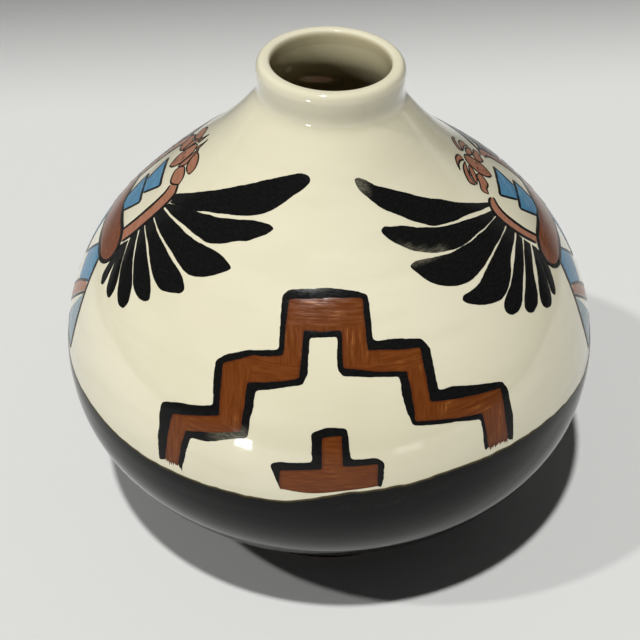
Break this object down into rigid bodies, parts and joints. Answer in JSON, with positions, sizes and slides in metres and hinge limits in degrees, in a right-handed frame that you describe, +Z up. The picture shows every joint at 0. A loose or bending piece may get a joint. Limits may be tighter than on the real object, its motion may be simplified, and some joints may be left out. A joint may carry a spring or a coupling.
{
  "type": "painted pottery vase",
  "caption": "Round-bellied glazed pottery vase with a small rolled mouth, black lower body, cream upper body and hand-painted stepped and winged motifs.",
  "frame": {"origin": "centre of the foot on the plane the vase stands on", "axes": "+Z up along the vase's turning axis, -Y towards the side with the large stepped motif that the picture shows, +X to the right of it"},
  "size_m": [0.2, 0.2, 0.187],
  "materials": {
    "fired_clay": "matte",
    "black_glaze": "gloss",
    "cream_glaze": "gloss",
    "liner_glaze": "gloss",
    "black_enamel": "gloss",
    "rust_enamel": "gloss",
    "blue_enamel": "gloss",
    "flesh_enamel": "gloss"
  },
  "bodies": {
    "root": {"foot_ring": "fired_clay", "lower_bowl": "fired_clay", "upper_shell": "fired_clay", "neck_collar": "fired_clay", "black_glaze_coat": "black_glaze", "cream_glaze_coat": "cream_glaze", "liner_glaze_coat": "liner_glaze"}
  },
  "joints": []
}
